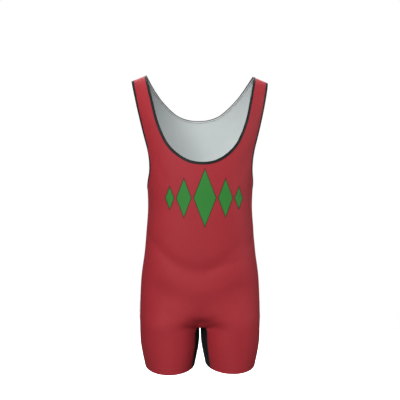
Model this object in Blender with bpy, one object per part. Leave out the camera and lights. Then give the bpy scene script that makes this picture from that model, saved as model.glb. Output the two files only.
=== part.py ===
"""Wrestling singlet, filled out as it is worn.

Metres, +Z up, the front faces -Y and the garment's left side is at +X. The origin lies between the two
shoulder straps, at the height where they rest on the shoulders, so the whole garment hangs below it.

The cloth follows one smooth general figure. Every panel is a grid of points on that figure, its wall is
the same grid moved in along normals that all the panels share, and neighbours keep a seam gap between them.
"""

import math

import bpy
import numpy as np

# Cloth, seams and trim
CLOTH_WALL = 0.0015
SEAM_GAP = 0.0003
BINDING_WIDTH = 0.007
BINDING_PROUD = 0.0005

# Shoulders
RIDGE_X = 0.163  # middle of a strap on top of the shoulder
RIDGE_FALL = 0.40  # the shoulder drops this much for each metre outwards
ARCH_HEIGHT = 0.16  # the cloth curves over the shoulder within this height
NECK_RIDGE_X = 0.1425
ARM_RIDGE_X = 0.1838
NEAR_SIDE = 0.93  # share of the half width beyond which a point counts as being at the side

# Side, crotch and legs
SPLIT_TOP = -0.5400  # where the hips start to part into two thighs
CROTCH = -0.6555
CROTCH_ARCH = 0.0095  # height of the small arch where a leg's inner side meets the crotch
ARCH_SIDE_RISE = 0.030  # how far the rows of that arch climb on the way round to the side seam
HEM = -0.7625
INNER_RISE = 0.04  # the gap between the legs closes over this height above the crotch
CROTCH_FRONT = 0.055
CROTCH_BACK = 0.050
SEAT_RISE = 0.1000  # height over which the cloth rounds from the crotch to the belly or seat
BRIDGE_TOP_FRONT = 0.092
BRIDGE_TOP_BACK = 0.100
BRIDGE_FALL = 4.5
BRIDGE_BLEND = 0.022
BRIDGE_DROP = 3.0

# Grid sizes
SIDE_COLUMNS = 13
LEG_ROWS = 6
ARCH_ROWS = 4
BODY_ROWS = 14
FRONT_STRAP_ROWS = 18
BACK_YOKE_ROWS = 6
BACK_STRAP_ROWS = 12
GUSSET_COLUMNS = 8
DENSE = 1500  # points along a free edge while it is measured out
BEND_SHARE = 0.2  # how much the spacing along a free edge follows its bends
ARCH_POWER = 0.65  # shape of the arch in which a leg's inner side ends
LOW_CROWDING = 1.45  # rows lie closer together towards the crotch by this power
YOKE_HEIGHT = 0.052  # the back's level rows end this far above the armhole's lowest point
FIELD_STEP = 0.00002
SETTLING_STEPS = 4
MIRROR_MERGE = 0.00002
SHARP_DEGREES = 50

# The figure, from the shoulders down
FIGURE_COLUMNS = ("height", "half_width", "front", "back", "squareness")
FIGURE = (
    (0.0645, 0.2180, 0.084, 0.086, 2.3),
    (-0.0055, 0.2050, 0.089, 0.095, 2.3),
    (-0.0655, 0.1890, 0.098, 0.104, 2.3),
    (-0.1255, 0.1730, 0.107, 0.108, 2.3),
    (-0.1855, 0.1580, 0.114, 0.107, 2.3),
    (-0.2890, 0.1415, 0.116, 0.096, 2.3),
    (-0.3455, 0.1396, 0.113, 0.087, 2.3),
    (-0.4055, 0.1436, 0.111, 0.085, 2.3),
    (-0.4605, 0.1482, 0.109, 0.091, 2.3),
    (-0.5255, 0.1568, 0.105, 0.102, 2.3),
    (-0.5905, 0.1603, 0.102, 0.111, 2.2),
    (-0.6535, 0.1612, 0.101, 0.109, 2.0),
    (-0.7055, 0.1588, 0.100, 0.098, 2.0),
    (-0.7505, 0.1500, 0.098, 0.088, 2.0),
    (-0.7955, 0.1390, 0.095, 0.078, 2.0),
)

# Half the gap between the legs, and the front and back inseams beside the inner panel
LEG_COLUMNS = ("height", "inner", "inseam")
LEG = (
    (-0.640, 0.0020, 0.0150),
    (-0.697, 0.0021, 0.0160),
    (-0.711, 0.0035, 0.0172),
    (-0.726, 0.0062, 0.0190),
    (-0.741, 0.0094, 0.0212),
    (-0.756, 0.0126, 0.0240),
    (-0.790, 0.0180, 0.0290),
)

# Free edges of the cloth, from the bottom of each opening up to the shoulder
NECK_COLUMNS = ("across", "height")
FRONT_NECK = (
    (0.0000, -0.2302),
    (0.0280, -0.2265),
    (0.0620, -0.2075),
    (0.0866, -0.1805),
    (0.0985, -0.1575),
    (0.1107, -0.1255),
    (0.1238, -0.0728),
    (0.1360, -0.0205),
)
BACK_NECK = (
    (0.0000, -0.0936),
    (0.0300, -0.0910),
    (0.0567, -0.0822),
    (0.0870, -0.0597),
    (0.1156, -0.0295),
    (0.1310, -0.0080),
)
ARM_COLUMNS = ("angle", "height")
FRONT_ARMHOLE = (
    (90.0, -0.2890),
    (84.0, -0.2850),
    (76.0, -0.2725),
    (68.5, -0.2555),
    (63.8, -0.2275),
    (63.2, -0.1955),
    (64.6, -0.1605),
    (65.2, -0.1055),
)
BACK_ARMHOLE = (
    (90.0, -0.2890),
    (84.0, -0.2845),
    (75.0, -0.2685),
    (67.0, -0.2425),
    (63.0, -0.2005),
    (62.8, -0.1555),
    (64.2, -0.1055),
)

# Section of a binding: share of its width from the free edge, height above the cloth's outer face
BINDING_SECTION = (
    (0.000, -0.00075),
    (0.045, 0.00015),
    (0.190, BINDING_PROUD),
    (0.810, BINDING_PROUD),
    (1.000, 0.00010),
    (1.000, -CLOTH_WALL - 0.00010),
    (0.810, -CLOTH_WALL - BINDING_PROUD),
    (0.190, -CLOTH_WALL - BINDING_PROUD),
    (0.045, -CLOTH_WALL - 0.00015),
)

RED_CLOTH = ((0.370, 0.026, 0.036, 1.0), 0.62)
BLACK_TRIM = ((0.008, 0.010, 0.010, 1.0), 0.55)


def curve_through(xs, ys, x):
    """A smooth curve through the points (xs, ys), with xs rising, read at x."""
    slopes = np.gradient(ys, xs)
    i = np.clip(np.searchsorted(xs, x) - 1, 0, len(xs) - 2)
    h = xs[i + 1] - xs[i]
    t = (x - xs[i]) / h
    return (
        (2 * t**3 - 3 * t**2 + 1) * ys[i]
        + (t**3 - 2 * t**2 + t) * h * slopes[i]
        + (3 * t**2 - 2 * t**3) * ys[i + 1]
        + (t**3 - t**2) * h * slopes[i + 1]
    )


def by_height(table, columns, name, z):
    """A named column of a table whose heights fall from row to row, read at the heights z."""
    rows = np.array(table)[::-1]
    return curve_through(rows[:, 0], rows[:, columns.index(name)], np.asarray(z, float))


def figure(name, z):
    return by_height(FIGURE, FIGURE_COLUMNS, name, z)


def smoothstep(t):
    t = np.clip(t, 0, 1)
    return t * t * (3 - 2 * t)


def smooth_max(a, b, blend):
    """The larger of a and b, with the corner between them filled over the width blend."""
    blend = np.maximum(blend, 1e-9)
    near = np.clip(1 - np.abs(a - b) / blend, 0, 1)
    return np.maximum(a, b) + near * near * blend / 4


def ridge(x):
    """Height of the shoulder line at the distance x from the middle."""
    return RIDGE_FALL * (RIDGE_X - np.abs(x)) + CLOTH_WALL


def thigh_centre(z):
    """(centre, radius) across of one side's section: the whole body above, one thigh below."""
    parted = smoothstep((SPLIT_TOP - z) / (SPLIT_TOP - CROTCH))
    inner = by_height(LEG, LEG_COLUMNS, "inner", np.minimum(z, LEG[0][0]))
    inner = inner * smoothstep((CROTCH + INNER_RISE - z) / INNER_RISE)
    half = figure("half_width", z)
    centre = parted * (half + inner) / 2
    return centre, half - centre, parted


def depth(x, z, side):
    """How far the cloth stands in front of the side seams (side "front") or behind them ("back")."""
    centre, radius, parted = thigh_centre(z)
    squareness = figure("squareness", z)
    full = figure(side, z)
    across = np.clip(np.abs(x - centre) / radius, 0, 1)
    round_side = full * (1 - across**squareness) ** (1 / squareness)
    low, high = {
        "front": (CROTCH_FRONT, BRIDGE_TOP_FRONT),
        "back": (CROTCH_BACK, BRIDGE_TOP_BACK),
    }[side]
    rise = np.clip((z - CROTCH) / SEAT_RISE, 0, 1)
    bridge = low + (high - low) * np.sqrt(1 - (1 - rise) ** 2)
    bridge = bridge - BRIDGE_FALL * x**2
    bridge = bridge - BRIDGE_DROP * np.maximum(CROTCH - CROTCH_ARCH - z, 0)
    over_arch = np.clip((ridge(x) - z) / ARCH_HEIGHT, 0, 1)
    shoulder = np.sqrt(1 - (1 - over_arch) ** 2)
    return smooth_max(round_side, bridge, BRIDGE_BLEND * parted) * shoulder


def on_figure(x, z, side):
    """Points of the figure at the places x, z of its front or back."""
    y = depth(x, z, side) * (-1 if side == "front" else 1)
    return np.stack(np.broadcast_arrays(x, y, z), axis=-1)


def upper_field(p):
    """Negative inside the chest and shoulders, zero on the cloth, and smooth over the shoulder line."""
    x, y, z = np.abs(p[..., 0]), p[..., 1], p[..., 2]
    half, squareness = figure("half_width", z), figure("squareness", z)
    full = np.where(y < 0, figure("front", z), figure("back", z))
    over = np.clip((ridge(x) - z) / ARCH_HEIGHT, -1, 1)
    arch = 1 - (1 - over) * np.abs(1 - over)
    across = x / half
    near_side = (np.abs(y) / full) ** squareness + across**squareness - 1
    section = np.clip(1 - across**squareness, 1e-9, 1) ** (2 / squareness)
    return np.where(across > NEAR_SIDE, near_side, (y / full) ** 2 - arch * section)


def field_slope(p):
    """Slope of upper_field along X, Y and Z, from points a small step to either side."""
    steps = FIELD_STEP * np.eye(3)
    rise = [upper_field(p + step) - upper_field(p - step) for step in steps]
    return np.stack(rise, axis=-1) / (2 * FIELD_STEP)


def unit(v):
    return v / np.maximum(np.linalg.norm(v, axis=-1, keepdims=True), 1e-12)


def spaced(points, count):
    """count + 1 points along a dense line of points, closer together where it bends."""
    steps = np.diff(points, axis=0)
    way = unit(steps)
    turn = np.r_[0, 0, np.cumsum(np.linalg.norm(np.diff(way, axis=0), axis=1))]
    run = np.r_[0, np.cumsum(np.linalg.norm(steps, axis=1))]
    measure = (1 - BEND_SHARE) * run / run[-1] + BEND_SHARE * turn / turn[-1]
    at = np.linspace(0, 1, count + 1)
    return np.stack([np.interp(at, measure, points[:, k]) for k in range(3)], axis=1)


def free_edge(table, columns, ridge_x, side):
    """A dense line of points along the free edge of the cloth, up to the top of the shoulder.

    The second row is mirrored ahead of the first, so that both halves of an edge meet without a kink.
    """
    centre = 2 * table[0][0]
    mirrored = (centre - table[1][0], table[1][1])
    rows = np.vstack([mirrored, table, (ridge_x, ridge(ridge_x))])
    across = rows[:, 0]
    if columns == ARM_COLUMNS:
        half = figure("half_width", rows[:, 1])
        rows[-1, 0] = math.degrees(math.asin(ridge_x / half[-1]))
        across = np.sin(np.radians(rows[:, 0])) * half
    run = np.r_[0, np.cumsum(np.hypot(np.diff(across), np.diff(rows[:, 1])))]
    at = run[1] + (run[-1] - run[1]) * (1 - (1 - np.linspace(0, 1, DENSE)) ** 2)
    x, z = (curve_through(run, rows[:, k], at) for k in range(2))
    if columns == ARM_COLUMNS:
        x = np.sin(np.radians(x)) * figure("half_width", z)
    z = np.minimum(z, ridge(x))
    x[-1], z[-1] = ridge_x, ridge(ridge_x)
    return on_figure(x, z, side)


def moved_in(edge, distance, towards):
    """The line edge walked over the figure by distance, to the side of it that towards points to."""
    along = unit(np.gradient(edge, axis=0))
    normal = unit(field_slope(edge))
    across = unit(np.cross(along, normal))
    flip = np.sign((across * towards).sum(axis=-1, keepdims=True).mean())
    moved = edge + flip * distance * across
    for _ in range(SETTLING_STEPS):
        slope = field_slope(moved)
        value = upper_field(moved)[:, None]
        moved = moved - value * slope / (slope**2).sum(axis=-1, keepdims=True)
    return moved


def trimmed_edge(table, columns, ridge_x, side, count, towards):
    """(free edge, seam line) of a binding, as matching points, exact on the seams at both ends."""
    free = spaced(free_edge(table, columns, ridge_x, side), count)
    mirror = np.array([-1, 1, 1]) if columns == NECK_COLUMNS else np.array([1, -1, 1])
    sign = -1 if side == "front" else 1
    before, after = free[1] * mirror, free[-2] * np.array([1, -1, 1])
    seam = moved_in(np.vstack([before, free, after]), BINDING_WIDTH, towards)[1:-1]
    if columns == NECK_COLUMNS:
        seam[0, 0] = 0
        seam[0, 1] = sign * depth(0.0, seam[0, 2], side)
    else:
        seam[0] = (figure("half_width", seam[0, 2]), 0, seam[0, 2])
    seam[-1] = (seam[-1, 0], 0, ridge(seam[-1, 0]))
    return free, seam


def body_row(z_start, z_end, x_start, side, count=SIDE_COLUMNS):
    """One row of a panel, from its inner edge at x_start round to the side seam."""
    u = np.linspace(0, 1, count + 1)
    z = z_start + (z_end - z_start) * np.sin(u * math.pi / 2)
    centre, radius, _ = thigh_centre(z)
    reach = centre - x_start
    first = np.arccos(np.clip(reach / radius, -1, 1))
    angle = first + (math.pi - first) * u
    swing = np.where(angle < math.pi / 2, reach / np.cos(first).clip(1e-9), radius)
    x = centre - swing * np.cos(angle)
    x[0] = x_start
    x[-1] = figure("half_width", z[-1])
    row = on_figure(x, z, side)
    row[-1, 1] = 0
    return row


def strap_row(start, end, side, count=SIDE_COLUMNS):
    """One row of a panel between the points start and end, kept at its distance below the shoulder line."""
    u = np.linspace(0, 1, count + 1)
    half = figure("half_width", np.array([start[2], end[2]]))
    angle = np.arcsin(np.clip(np.array([start[0], end[0]]) / half, -1, 1))
    angle = angle[0] + (angle[1] - angle[0]) * u
    x = np.sin(angle) * (half[0] + (half[1] - half[0]) * u)
    below = ridge(start[0]) - start[2]
    below = below + (ridge(end[0]) - end[2] - below) * u
    z = ridge(x) - np.maximum(below, 0)
    row = on_figure(x, z, side)
    row[0], row[-1] = start, end
    return row


def leg_levels():
    """(height, arch) of the rows from the hem up to the crotch: arch is 1 on the leg and 0 at its top."""
    arch_foot = CROTCH - CROTCH_ARCH
    leg = np.linspace(HEM, arch_foot, LEG_ROWS + 1)
    turn = np.linspace(0, math.pi / 2, ARCH_ROWS + 1)[1:]
    heights = np.r_[leg, arch_foot + CROTCH_ARCH * np.sin(turn)]
    arch = np.r_[np.ones(LEG_ROWS + 1), np.cos(turn) ** ARCH_POWER]
    arch[-1] = 0
    return heights, arch


def inseam(z):
    return by_height(LEG, LEG_COLUMNS, "inseam", np.minimum(z, LEG[0][0]))


def leg_rows(side):
    foot = CROTCH - CROTCH_ARCH
    climb = np.r_[np.zeros(LEG_ROWS), np.linspace(0, ARCH_SIDE_RISE, ARCH_ROWS + 1)]
    return [
        body_row(height, min(height, foot) + up, arch * inseam(height), side)
        for height, arch, up in zip(*leg_levels(), climb)
    ]


def body_rows(side, centre_top, side_top):
    """Rows from just above the crotch up to the row that starts at centre_top and ends at side_top."""
    share = np.linspace(0, 1, BODY_ROWS + 1)[1:]
    z_centre = CROTCH + (centre_top - CROTCH) * share**LOW_CROWDING
    side_foot = CROTCH - CROTCH_ARCH + ARCH_SIDE_RISE
    z_side = side_foot + (side_top - side_foot) * share
    return [body_row(a, b, 0.0, side) for a, b in zip(z_centre[:-1], z_side[:-1])]


def front_grid(neck_seam, arm_seam):
    rows = leg_rows("front")
    rows += body_rows("front", neck_seam[0, 2], arm_seam[0, 2])
    rows += [strap_row(a, b, "front") for a, b in zip(neck_seam, arm_seam)]
    return np.array(rows)


def back_grid(neck_seam, arm_seam):
    yoke_foot = arm_seam[0, 2] + YOKE_HEIGHT
    heights = np.linspace(yoke_foot, neck_seam[0, 2], BACK_YOKE_ROWS + 1)[:-1]
    starts = [on_figure(np.array(0.0), np.array(z), "back") for z in heights]
    rows = leg_rows("back")
    rows += body_rows("back", yoke_foot, arm_seam[0, 2])
    rows += [strap_row(a, b, "back") for a, b in zip(starts + list(neck_seam), arm_seam)]
    return np.array(rows)


def gusset_grid():
    """The inner panel of one leg, from the front inseam to the back one, up to the crotch."""
    heights, arches = leg_levels()
    foot = CROTCH - CROTCH_ARCH
    share = np.linspace(0, 1, GUSSET_COLUMNS + 1)
    rows = []
    for height, arch in zip(heights, arches):
        level = min(height, foot)
        centre, radius, _ = thigh_centre(level)
        edge = math.acos((centre - inseam(level)) / radius)
        angle = edge * (1 - 2 * share)
        x = (centre - radius * np.cos(angle)) * arch
        full = np.where(angle > 0, figure("front", level), figure("back", level))
        y = -full * np.sin(angle)
        x_edge = arch * inseam(height)
        front_gap = -depth(x_edge, height, "front") - y[0]
        back_gap = depth(x_edge, height, "back") - y[-1]
        y = y + front_gap * (1 - share) ** 2 + back_gap * share**2
        x[0] = x[-1] = x_edge
        rows.append(np.stack([x, y, np.full_like(x, height)], axis=-1))
    return np.array(rows)


def shared_normals(grids):
    """Outward normals of grids that meet along seams. Each grid comes with 1 or -1, for its facing."""
    points = np.concatenate([grid.reshape(-1, 3) for grid, _ in grids])
    _, index = np.unique(np.round(points, 6), axis=0, return_inverse=True)
    index = index.reshape(-1)
    total = np.zeros((index.max() + 1, 3))
    start = 0
    for grid, facing in grids:
        rows, columns = grid.shape[:2]
        own = index[start : start + rows * columns].reshape(rows, columns)
        start += rows * columns
        area = facing * np.cross(grid[1:, 1:] - grid[:-1, :-1], grid[1:, :-1] - grid[:-1, 1:])
        for corner in (own[1:, 1:], own[:-1, :-1], own[1:, :-1], own[:-1, 1:]):
            np.add.at(total, corner.reshape(-1), area.reshape(-1, 3))
    normals, start = [], 0
    for grid, _ in grids:
        count = grid.shape[0] * grid.shape[1]
        own = total[index[start : start + count]].reshape(grid.shape)
        own[..., 0] = np.where(np.abs(grid[..., 0]) < 1e-7, 0, own[..., 0])
        normals.append(unit(own))
        start += count
    return normals


def drawn_back(skin, at, towards):
    """Moves the points skin[at] by half a seam gap towards the points skin[towards]."""
    way = unit(skin[towards] - skin[at])
    skin[at] = skin[at] + way * SEAM_GAP / 2


def clear_of_seams(skin, centre_rows):
    """Draws a panel's seamed edges back. centre_rows are those whose first point lies on the middle line."""
    low, high = centre_rows
    drawn_back(skin, (slice(0, low), 0), (slice(0, low), 1))
    drawn_back(skin, (low, 0), (low + 1, 0))
    drawn_back(skin, (high, 0), (high - 1, 0))
    drawn_back(skin, (slice(high + 1, None), 0), (slice(high + 1, None), 1))
    drawn_back(skin, (slice(None), -1), (slice(None), -2))
    drawn_back(skin, -1, -2)
    skin[low : high + 1, 0, 0] = 0
    return skin


def wall_mesh(outer, inner, facing, open_edges):
    """(points, faces) of the wall between two grids. open_edges are border edges left out for the mirror."""
    rows, columns = outer.shape[:2]
    index = np.arange(rows * columns).reshape(rows, columns)
    quads = np.stack([index[:-1, :-1], index[:-1, 1:], index[1:, 1:], index[1:, :-1]], axis=-1)
    quads = quads.reshape(-1, 4)
    corners = outer.reshape(-1, 3)[quads]
    diagonals = np.linalg.norm(corners[:, :2] - corners[:, 2:], axis=-1)
    flipped = diagonals[:, 1] < diagonals[:, 0]
    quads[flipped] = np.roll(quads[flipped], 1, axis=1)
    loop = np.r_[index[0, :-1], index[:-1, -1], index[-1, :0:-1], index[:0:-1, 0]]
    border = np.stack([loop, np.roll(loop, -1)], axis=1)
    border = np.array([edge for edge in border if frozenset(edge) not in open_edges])
    below = rows * columns
    start, end = border.T
    sides = np.stack([end, start, start + below, end + below], axis=1)
    faces = np.concatenate([quads, quads[:, [0, 3, 2, 1]] + below, sides])
    if facing < 0:
        faces = faces[:, [0, 3, 2, 1]]
    return np.concatenate([outer.reshape(-1, 3), inner.reshape(-1, 3)]), faces


def middle_edges(shape, rows):
    """The border edges along the middle line of a half panel, as pairs of points."""
    columns = shape[1]
    return {frozenset((r * columns, (r + 1) * columns)) for r in range(rows[0], rows[1])}


def ring_mesh(free, seam, normals, facing, closed):
    """A binding: its section carried along the two matching lines free and seam."""
    free_normal, seam_normal = normals
    width = np.linalg.norm(seam - free, axis=1, keepdims=True)
    stop = 1 - SEAM_GAP / 2 / width
    section = []
    for share, height in BINDING_SECTION:
        at = share * stop
        normal = unit(free_normal * (1 - at) + seam_normal * at)
        section.append(free + (seam - free) * at + normal * height)
    points = np.stack(section, axis=1)
    count, around = points.shape[:2]
    index = np.arange(count * around).reshape(count, around)
    if closed:
        index = np.vstack([index, index[:1]])
    next_one = np.roll(index, -1, axis=1)
    faces = np.stack([index[:-1], next_one[:-1], next_one[1:], index[1:]], axis=-1)
    faces = faces.reshape(-1, 4)
    return points.reshape(-1, 3), faces[:, ::-1] if facing < 0 else faces


def add_object(name, points, faces, material, mirrored):
    """One named piece. A mirrored piece is half of it, closed by a Mirror modifier on the middle line."""
    mesh = bpy.data.meshes.new(name)
    mesh.from_pydata(points.tolist(), [], faces.tolist())
    mesh.update()
    mesh.shade_smooth()
    mesh.set_sharp_from_angle(angle=math.radians(SHARP_DEGREES))
    mesh.materials.append(material)
    piece = bpy.data.objects.new(name, mesh)
    bpy.context.scene.collection.objects.link(piece)
    if mirrored:
        mirror = piece.modifiers.new("Left and right halves", "MIRROR")
        mirror.merge_threshold = MIRROR_MERGE
    return piece


def cloth_material(name, colour, roughness):
    material = bpy.data.materials.new(name)
    material.use_nodes = True
    material.diffuse_color = colour
    shader = material.node_tree.nodes["Principled BSDF"]
    shader.inputs["Base Color"].default_value = colour
    shader.inputs["Roughness"].default_value = roughness
    shader.inputs["Metallic"].default_value = 0.0
    return material


def binding_strip(front, back):
    """(free edge, seam line) of a whole binding, from its front end over the shoulder to its back end."""
    return tuple(np.vstack([f, b[-2::-1]]) for f, b in zip(front, back))


def trimmed_edges():
    """The neck's and the left armhole's trimmed edges, each as its front part and its back part."""
    neck_inwards = np.array([1.0, 0, -1.0])
    arm_inwards = np.array([-1.0, 0, -1.0])
    back_rows = BACK_YOKE_ROWS + BACK_STRAP_ROWS
    plan = (
        (FRONT_NECK, NECK_COLUMNS, NECK_RIDGE_X, "front", FRONT_STRAP_ROWS, neck_inwards),
        (BACK_NECK, NECK_COLUMNS, NECK_RIDGE_X, "back", BACK_STRAP_ROWS, neck_inwards),
        (FRONT_ARMHOLE, ARM_COLUMNS, ARM_RIDGE_X, "front", FRONT_STRAP_ROWS, arm_inwards),
        (BACK_ARMHOLE, ARM_COLUMNS, ARM_RIDGE_X, "back", back_rows, arm_inwards),
    )
    edges = [trimmed_edge(*row) for row in plan]
    return edges[:2], edges[2:]


def add_panel(name, grid, normal, facing, centre_rows, material):
    outer = clear_of_seams(grid.copy(), centre_rows)
    inner = clear_of_seams(grid - normal * CLOTH_WALL, centre_rows)
    open_edges = middle_edges(grid.shape, centre_rows)
    add_object(name, *wall_mesh(outer, inner, facing, open_edges), material, True)


def add_gusset(gusset, normal, material):
    """The gusset's two halves meet along the last row, which lies on the middle line."""
    skins = []
    for skin in (gusset.copy(), gusset - normal * CLOTH_WALL):
        drawn_back(skin, (slice(None), 0), (slice(None), 1))
        drawn_back(skin, (slice(None), -1), (slice(None), -2))
        skin[-1, :, 0] = 0
        skins.append(skin)
    rows, columns = gusset.shape[:2]
    last = (rows - 1) * columns
    open_edges = {frozenset((last + c, last + c + 1)) for c in range(columns - 1)}
    add_object("crotch_gusset", *wall_mesh(*skins, -1, open_edges), material, True)


def build():
    for thing in list(bpy.data.objects):
        bpy.data.objects.remove(thing)
    red = cloth_material("red cloth", *RED_CLOTH)
    black = cloth_material("black trim", *BLACK_TRIM)

    neck, arm = trimmed_edges()
    front = front_grid(neck[0][1], arm[0][1])
    back = back_grid(neck[1][1], arm[1][1])
    gusset = gusset_grid()
    neck_free, neck_seam = binding_strip(*neck)
    arm_free, arm_seam = (line[:-1] for line in binding_strip(*arm))
    neck_strip = np.stack([neck_free, neck_seam])
    arm_ring = np.stack([arm_free, arm_seam])
    arm_ring = np.concatenate([arm_ring, arm_ring[:, :1]], axis=1)
    facings = [(front, 1), (back, -1), (gusset, -1), (neck_strip, -1), (arm_ring, 1)]
    front_normal, back_normal, gusset_normal, neck_normal, arm_normal = shared_normals(facings)

    crotch_row = LEG_ROWS + ARCH_ROWS
    front_middle = (crotch_row, crotch_row + BODY_ROWS)
    back_middle = (crotch_row, crotch_row + BODY_ROWS + BACK_YOKE_ROWS)
    add_panel("front_panel", front, front_normal, 1, front_middle, red)
    add_panel("back_panel", back, back_normal, -1, back_middle, red)
    add_gusset(gusset, gusset_normal, black)
    points, faces = ring_mesh(neck_free, neck_seam, neck_normal, 1, False)
    add_object("neck_binding", points, faces, black, True)
    points, faces = ring_mesh(arm_free, arm_seam, arm_normal[:, :-1], -1, True)
    add_object("left_armhole_binding", points, faces, black, False)
    add_object("right_armhole_binding", points * (-1, 1, 1), faces[:, ::-1], black, False)


build()
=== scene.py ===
# %% [markdown]
# # A wrestling singlet
#
# A singlet is one tube of thin stretch knit with two wide shoulder straps and two short legs. It has very
# few parts: a front panel, a back panel, a black gusset that runs from one inner thigh over the crotch to
# the other, and three black bindings that wrap the raw edges of the neck and the armholes.
#
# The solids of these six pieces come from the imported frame. This file gives each one a thin cloth shell on
# the same form, with a face and a wrong side, rolled seams, turned hems, stitching and a knit finish.

# %% Load the frame
import math

import bmesh
import bpy
import numpy as np
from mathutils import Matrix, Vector


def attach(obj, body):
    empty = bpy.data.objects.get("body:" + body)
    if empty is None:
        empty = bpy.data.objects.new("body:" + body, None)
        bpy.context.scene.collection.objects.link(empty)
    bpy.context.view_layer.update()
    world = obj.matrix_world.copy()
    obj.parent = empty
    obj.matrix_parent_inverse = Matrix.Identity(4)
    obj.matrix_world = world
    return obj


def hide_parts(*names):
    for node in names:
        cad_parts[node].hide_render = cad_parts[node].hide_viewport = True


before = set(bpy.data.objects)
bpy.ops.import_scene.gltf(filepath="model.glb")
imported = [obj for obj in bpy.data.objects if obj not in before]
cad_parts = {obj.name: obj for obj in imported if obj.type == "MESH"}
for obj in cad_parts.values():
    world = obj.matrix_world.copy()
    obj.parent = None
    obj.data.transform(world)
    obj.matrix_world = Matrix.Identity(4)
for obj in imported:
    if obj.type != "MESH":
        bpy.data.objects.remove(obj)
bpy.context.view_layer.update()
print("the frame's nodes are", ", ".join(sorted(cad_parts)))

# %% [markdown]
# ## Camera
#
# The photo is taken level, from straight in front and a little to the garment's right, with a short
# telephoto view. A lens and a distance together set both the size in the frame and how strongly the near
# side of the neckline grows over the far side, so both were worked out from the photo's outline first.

# %% Place the camera at the photo's angle
LENS_MM = 43.46
CAMERA_DISTANCE = 1.3054
CAMERA_HEIGHT = -0.3245
CAMERA_SWING = math.radians(-3.1)

camera_data = bpy.data.cameras.new("photo_camera")
camera_data.sensor_width = 36
camera_data.lens = LENS_MM
camera = bpy.data.objects.new("photo_camera", camera_data)
camera.location = (
    CAMERA_DISTANCE * math.sin(CAMERA_SWING),
    -CAMERA_DISTANCE * math.cos(CAMERA_SWING),
    CAMERA_HEIGHT,
)
camera.rotation_euler = (math.radians(90), 0, CAMERA_SWING)
bpy.context.scene.collection.objects.link(camera)
bpy.context.scene.camera = camera
print("camera at", [round(c, 3) for c in camera.location])

# %% [markdown]
# ## Studio
#
# Stretch knit is nearly matt, so large soft lights give the form its shading. The key is high on the left
# in front. A weaker panel on the right opens the shadows, one overhead models the straps and the hips, and
# a faint one from below keeps the legs' undersides from going black. Three more stand behind, for the back.
# The ground is plain white and throws hardly any light back, so the edges of the red stay deep.

# %% Floor, world and soft lights
FLOOR_HEIGHT = -1.25
FLOOR_RADIUS = 2.5
AMBIENT = 0.08
AIM = (0, 0, -0.35)
LIGHTS = (
    # name, place, side of the square panel, watts
    ("key", (-0.9, -2.1, 0.7), 1.4, 57.0),
    ("fill", (2.2, -0.4, 0.1), 1.4, 21.0),
    ("overhead", (0.0, -0.3, 2.0), 1.6, 13.5),
    ("low_front", (-0.1, -1.8, -1.3), 1.2, 12.0),
    ("back_high", (0.0, 1.2, 1.8), 1.6, 70.0),
    ("back_left", (0.9, 2.2, 0.7), 1.4, 30.0),
    ("back_middle", (-0.2, 2.4, 0.2), 1.4, 25.0),
)

for name, place, side, watts in LIGHTS:
    panel = bpy.data.lights.new(name, "AREA")
    panel.size = side
    panel.energy = watts
    lamp = bpy.data.objects.new(name, panel)
    lamp.location = place
    lamp.rotation_euler = (lamp.location - Vector(AIM)).to_track_quat("Z", "Y").to_euler()
    bpy.context.scene.collection.objects.link(lamp)

angle = np.linspace(0, 2 * math.pi, 97)[:-1]
disc = np.stack([FLOOR_RADIUS * np.cos(angle), FLOOR_RADIUS * np.sin(angle), 0 * angle + FLOOR_HEIGHT], 1)
floor_mesh = bpy.data.meshes.new("studio_floor")
floor_mesh.from_pydata(disc.tolist(), [], [list(range(len(disc)))])
floor_paint = bpy.data.materials.new("white floor")
floor_paint.use_nodes = True
paint = floor_paint.node_tree.nodes["Principled BSDF"].inputs
paint["Base Color"].default_value = (0.9, 0.9, 0.9, 1)
paint["Roughness"].default_value = 0.9
paint["Emission Color"].default_value = (1, 1, 1, 1)
paint["Emission Strength"].default_value = 0.9
floor_mesh.materials.append(floor_paint)
floor = bpy.data.objects.new("studio_floor", floor_mesh)
floor.visible_diffuse = False
floor.visible_glossy = False
bpy.context.scene.collection.objects.link(floor)

world = bpy.data.worlds.new("pale studio")
world.use_nodes = True
sky = world.node_tree
ambient = sky.nodes["Background"]
ambient.inputs["Strength"].default_value = AMBIENT
white = sky.nodes.new("ShaderNodeBackground")
for ground in (ambient, white):
    ground.inputs["Color"].default_value = (1, 1, 1, 1)
seen = sky.nodes.new("ShaderNodeLightPath")
either = sky.nodes.new("ShaderNodeMixShader")
sky.links.new(seen.outputs["Is Camera Ray"], either.inputs["Fac"])
sky.links.new(ambient.outputs[0], either.inputs[1])
sky.links.new(white.outputs[0], either.inputs[2])
sky.links.new(either.outputs[0], sky.nodes["World Output"].inputs["Surface"])
bpy.context.scene.world = world
bpy.context.scene.view_settings.view_transform = "Standard"
print(len(LIGHTS), "soft panels give", sum(row[3] for row in LIGHTS), "W")

# %% [markdown]
# ## A shader toolkit
#
# A knit is a small repeating relief, so its finish is a sum of waves. Writing such sums as plain Python
# expressions keeps them readable: `Wire` stands for a value in the node tree and turns each operator into
# one Math node, and `Finish.node` makes any other node from its type, its settings and its inputs.

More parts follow.
